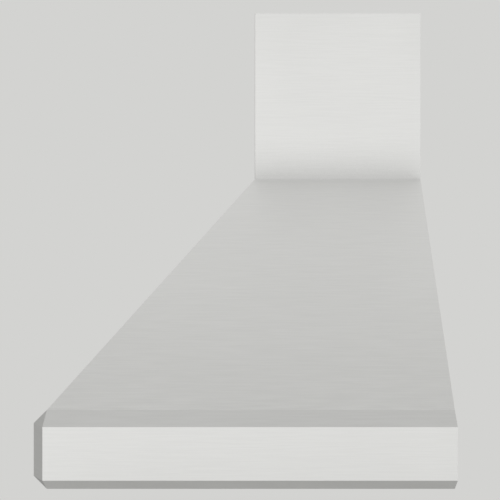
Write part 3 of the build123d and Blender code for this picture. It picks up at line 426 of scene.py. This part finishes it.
# %% Galvanised sheet
galvanised, tree, shader, place = finish("galvanised_sheet", {"Metallic": 1.0})
crystal_size = 11 * mm
border_wave = 6 * mm
border_shift = 5 * mm
wave = add_node(tree, "ShaderNodeTexNoise", {"Vector": place, "Scale": 1 / border_wave, "Detail": 2.0})
shift = {0: wave.outputs["Color"], "Scale": border_shift}
moved = add_node(tree, "ShaderNodeVectorMath", shift, operation="SCALE").outputs["Vector"]
bent = add_node(tree, "ShaderNodeVectorMath", {0: place, 1: moved}, operation="ADD").outputs["Vector"]
cells = add_node(tree, "ShaderNodeTexVoronoi", {"Vector": bent, "Scale": 1 / crystal_size, "Randomness": 1.0})
chance = add_node(tree, "ShaderNodeSeparateColor", {"Color": cells.outputs["Color"]}).outputs
tones = {"Factor": chance["Red"], first_colour: linear("#A4A8AA"), second_colour: linear("#B6BABC")}
grey = add_node(tree, "ShaderNodeMix", tones, data_type="RGBA").outputs[mixed_colour]
tree.links.new(grey, shader.inputs["Base Color"])
gloss = add_node(tree, "ShaderNodeMapRange", {"Value": chance["Green"], "To Min": 0.36, "To Max": 0.48})
tree.links.new(gloss.outputs["Result"], shader.inputs["Roughness"])
print("zinc crystals", round(crystal_size / mm), "mm wide")

# %% [markdown]
# Screws, rivets, the damper rod and the motor shaft are steel with a thin bright zinc plating.
# The plating is smooth, slightly blue, and a little mottled where it has been handled.

# %% Zinc-plated steel
plated, tree, shader, place = finish("zinc_plated_steel", {"Metallic": 1.0})
mottle_size = 2 * mm
mottle = add_node(tree, "ShaderNodeTexNoise", {"Vector": place, "Scale": 1 / mottle_size, "Detail": 3.0})
vary(tree, shader, mottle.outputs["Fac"], colours=("#A9ADB0", "#C3C6C8"), roughness=(0.22, 0.36))
print("plated steel mottled every", mottle_size / mm, "mm")

# %% [markdown]
# The leaf springs are hard rolled strip, darker than the sheet and glossy along its length.
# Their rolling lines are drawn coarser than they are, like those of the filters.

# %% Spring steel
spring, tree, shader, place = finish("rolled_spring_steel", {"Metallic": 1.0, "Anisotropic": 0.4})
strip_line_gap = 0.8 * mm
strip_line_length = 20 * mm
squeeze = (1 / strip_line_gap, 1 / strip_line_length, 1 / strip_line_length)
lined = add_node(tree, "ShaderNodeMapping", {"Vector": place, "Scale": squeeze}).outputs["Vector"]
rolling = add_node(tree, "ShaderNodeTexNoise", {"Vector": lined, "Scale": 1.0, "Detail": 2.0}).outputs["Fac"]
vary(tree, shader, rolling, colours=("#9A9B9A", "#A9AAA9"), roughness=(0.22, 0.32))
print("spring steel with rolling lines every", strip_line_gap / mm, "mm")

# %% [markdown]
# Knobs and lamp bezels are turned on a lathe, so their tool marks are rings round their own axis, which
# catch the light one by one. A straight pattern would give them away as flat sheet, so the rings
# follow the distance to the axis, and the CAD box of each piece says where that is.
# Real marks lie about a fifth of a millimetre apart. They are drawn three times as wide, to show.

# %% Turned steel
lathe_feed = 0.2 * mm
drawn_feed = 3 * lathe_feed
level_only = (1, 1, 0)


def turned_steel(name, node):
    """Satin steel with rings round the upright middle line of a CAD node."""
    low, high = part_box(node)
    centre = (low + high) / 2
    axis_foot = (centre.x, centre.y, 0)
    material, tree, shader, place = finish(name, {"Metallic": 1.0, "Anisotropic": 0.4})
    from_axis = {0: place, 1: axis_foot}
    own = add_node(tree, "ShaderNodeVectorMath", from_axis, operation="SUBTRACT").outputs["Vector"]
    levelled = {0: own, 1: level_only}
    flat = add_node(tree, "ShaderNodeVectorMath", levelled, operation="MULTIPLY").outputs["Vector"]
    radius = add_node(tree, "ShaderNodeVectorMath", {0: flat}, operation="LENGTH").outputs["Value"]
    height = add_node(tree, "ShaderNodeSeparateXYZ", {"Vector": own}).outputs["Z"]
    rings = add_node(tree, "ShaderNodeCombineXYZ", {"X": radius, "Y": height}).outputs["Vector"]
    marks = add_node(tree, "ShaderNodeTexNoise", {"Vector": rings, "Scale": 1 / drawn_feed, "Detail": 2.0})
    tones = ("#B2B2AF", "#C0C0BD")
    vary(tree, shader, marks.outputs["Fac"], colours=tones, roughness=(0.24, 0.34), relief=0.008 * mm)
    return material


turned_pieces = ("light_knob", "speed_knob", "lamp_left_bezel", "lamp_right_bezel")
turned = {node: turned_steel("turned_steel_" + node, node) for node in turned_pieces}
print(len(turned), "turned pieces")

# %% [markdown]
# The motor shell is dipped in black enamel. The paint flows a little before it dries, which leaves it
# gently dimpled, and a thin gloss lies over it. The eye gets a deep black with soft, uneven highlights.

# %% Motor enamel
enamel, tree, shader, place = finish("black_motor_enamel", {"Metallic": 0.0, "IOR": 1.5, "Coat Weight": 0.2})
dimple_size = 1.5 * mm
peel = add_node(tree, "ShaderNodeTexNoise", {"Vector": place, "Scale": 1 / dimple_size, "Detail": 1.0})
tones = ("#1B1C1E", "#242527")
vary(tree, shader, peel.outputs["Fac"], colours=tones, roughness=(0.32, 0.42), relief=0.03 * mm)
print("enamel dimples", dimple_size / mm, "mm")

# %% [markdown]
# The capacitor sits in a moulded polypropylene case, and the switches in black phenolic.
# Both are mouldings whose mould was spark-eroded. That leaves a grain of half a millimetre, which
# scatters the light, so the eye gets a matt surface without reflections.

# %% Moulded plastics
mould_grain = 0.5 * mm


def moulded(name, colours, roughness):
    """Matt moulding with spark-eroded grain between two close colours."""
    material, tree, shader, place = finish(name, {"Metallic": 0.0, "IOR": 1.49})
    grain = add_node(tree, "ShaderNodeTexNoise", {"Vector": place, "Scale": 1 / mould_grain, "Detail": 2.0})
    vary(tree, shader, grain.outputs["Fac"], colours=colours, roughness=roughness, relief=0.02 * mm)
    return material


capacitor_case = moulded("pale_polypropylene", ("#CFCFC8", "#D8D8D2"), (0.5, 0.6))
switch_case = moulded("black_phenolic", ("#1D1D1E", "#272728"), (0.45, 0.58))
print("moulding grain", mould_grain / mm, "mm")

# %% [markdown]
# The lamp lenses are pressed glass, etched on the inside so that no bright point shows.
# Glass bends light by its IOR of about 1.5. The etching scatters what passes through, which is a high
# roughness, and sends part of it back, so the lens looks whitish while the lamp is off.
# Etched pits are far smaller than a pixel, so their grain is drawn coarser than it is.

# %% Frosted glass
lens_numbers = {"Metallic": 0.0, "IOR": 1.5, "Transmission Weight": 0.6}
frosted, tree, shader, place = finish("frosted_pressed_glass", lens_numbers)
frost_grain = 0.6 * mm
frost = add_node(tree, "ShaderNodeTexNoise", {"Vector": place, "Scale": 1 / frost_grain, "Detail": 2.0})
vary(tree, shader, frost.outputs["Fac"], colours=("#F0F2F0", "#F8F9F8"), roughness=(0.38, 0.5))
print("frosted glass grain", frost_grain / mm, "mm")

# %% [markdown]
# The lamp cans are spun from soft aluminium: pale and neutral, with the rings of the spinning roller.
# The cans stand upright, so lines squeezed along their height already run round them as rings.

# %% Spun aluminium
aluminium, tree, shader, place = finish("spun_aluminium", {"Metallic": 1.0})
roller_gap = 1.2 * mm
roller_length = 30 * mm
squeeze = (1 / roller_length, 1 / roller_length, 1 / roller_gap)
lined = add_node(tree, "ShaderNodeMapping", {"Vector": place, "Scale": squeeze}).outputs["Vector"]
roller = add_node(tree, "ShaderNodeTexNoise", {"Vector": lined, "Scale": 1.0, "Detail": 2.0}).outputs["Fac"]
vary(tree, shader, roller, colours=("#C6C7C8", "#D2D2D3"), roughness=(0.28, 0.4))
print("roller marks every", roller_gap / mm, "mm")

# %% [markdown]
# Above each lens lies a disc of white-lacquered aluminium with light-emitting chips on it.
# The chips are capped with yellow phosphor. They hang below the disc, so height tells the two apart,
# and one material serves the whole board. A fine speckle keeps both paints from looking perfect.

# %% LED boards
chip_depth = 0.6 * mm
speckle_size = 0.7 * mm


def led_board(name, node):
    """White lacquer on the disc of a CAD node, and yellow phosphor on the chips below it."""
    material, tree, shader, place = finish(name, {"Metallic": 0.0, "IOR": 1.5})
    grain = {"Vector": place, "Scale": 1 / speckle_size, "Detail": 2.0}
    speckle = add_node(tree, "ShaderNodeTexNoise", grain).outputs["Fac"]
    disc_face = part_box(node)[0].z + chip_depth
    height = add_node(tree, "ShaderNodeSeparateXYZ", {"Vector": place}).outputs["Z"]
    edge = {0: height, 1: disc_face}
    on_disc = add_node(tree, "ShaderNodeMath", edge, operation="GREATER_THAN").outputs["Value"]
    phosphor = blend(tree, speckle, ("#DCC766", "#E6D47E"))
    lacquer = blend(tree, speckle, ("#E6E7E3", "#EDEEEA"))
    paints = {"Factor": on_disc, first_colour: phosphor, second_colour: lacquer}
    paint = add_node(tree, "ShaderNodeMix", paints, data_type="RGBA").outputs[mixed_colour]
    tree.links.new(paint, shader.inputs["Base Color"])
    vary(tree, shader, speckle, roughness=(0.3, 0.42))
    return material


boards = {node: led_board("lacquered_" + node, node) for node in ("lamp_left_board", "lamp_right_board")}
print(len(boards), "boards")

# %% [markdown]
# The record names a material slot for every CAD node, so most finishes are handed out by slot.
# The others go by node. Which way the scratches of brushed sheet run depends on how the piece was cut,
# and the rings of a turned piece and the chips of a board depend on where it stands.

# %% Hand out the finishes
by_slot = {
    "stainless_sheet": rail_steel,
    "filter_steel": filter_steel,
    "galvanised_sheet": galvanised,
    "screw_steel": plated,
    "spring_steel": spring,
    "motor_enamel": enamel,
    "capacitor_case": capacitor_case,
    "switch_plastic": switch_case,
    "lamp_glass": frosted,
    "lamp_can_aluminium": aluminium,
}
by_node = {
    "canopy_band": band_steel,
    "duct_cover": cover_steel,
    "canopy_front_slope": front_slope_steel,
    "canopy_left_slope": side_slope_steel,
    "canopy_right_slope": side_slope_steel,
    "liner_left": liner_steel,
    "liner_right": liner_steel,
    **turned,
    **boards,
}
slots = {row["node"]: row["material_slot"] for row in frame["record"]["subparts"]}
for name, piece in frame["nodes"].items():
    piece.data.materials.clear()
    piece.data.materials.append(by_node.get(name) or by_slot[slots[name]])
print(len(frame["nodes"]), "nodes dressed")
